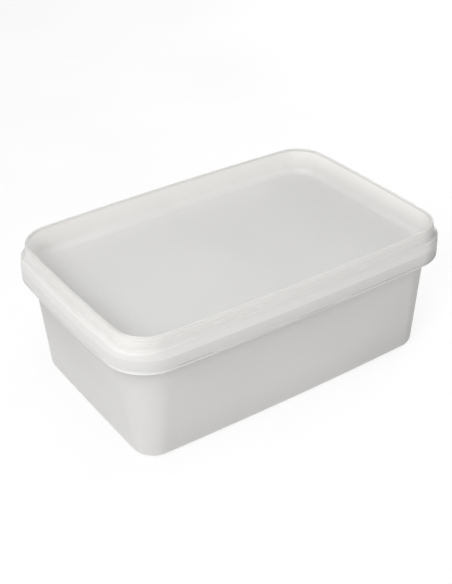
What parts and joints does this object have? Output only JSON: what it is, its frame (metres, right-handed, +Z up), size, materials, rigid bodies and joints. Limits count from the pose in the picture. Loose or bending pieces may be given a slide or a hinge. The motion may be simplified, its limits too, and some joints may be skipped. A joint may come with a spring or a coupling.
{
  "type": "ice cream tub",
  "caption": "Closed rectangular ice cream tub in plain white plastic, with tapered sides, rounded corners and a press-on lid whose panel is sunk inside a raised rim.",
  "frame": {"origin": "centre of the tub's footprint, on the surface it stands on", "axes": "+Z up, +X along the long side, +Y along the short side"},
  "size_m": [0.229, 0.1486, 0.0881],
  "materials": {
    "tub_plastic": "satin natural white polypropylene, slightly translucent",
    "lid_plastic": "satin natural white polypropylene, a little clearer and brighter than the tub"
  },
  "bodies": {
    "root": {"tub": "tub_plastic", "lid": "lid_plastic"}
  },
  "joints": []
}
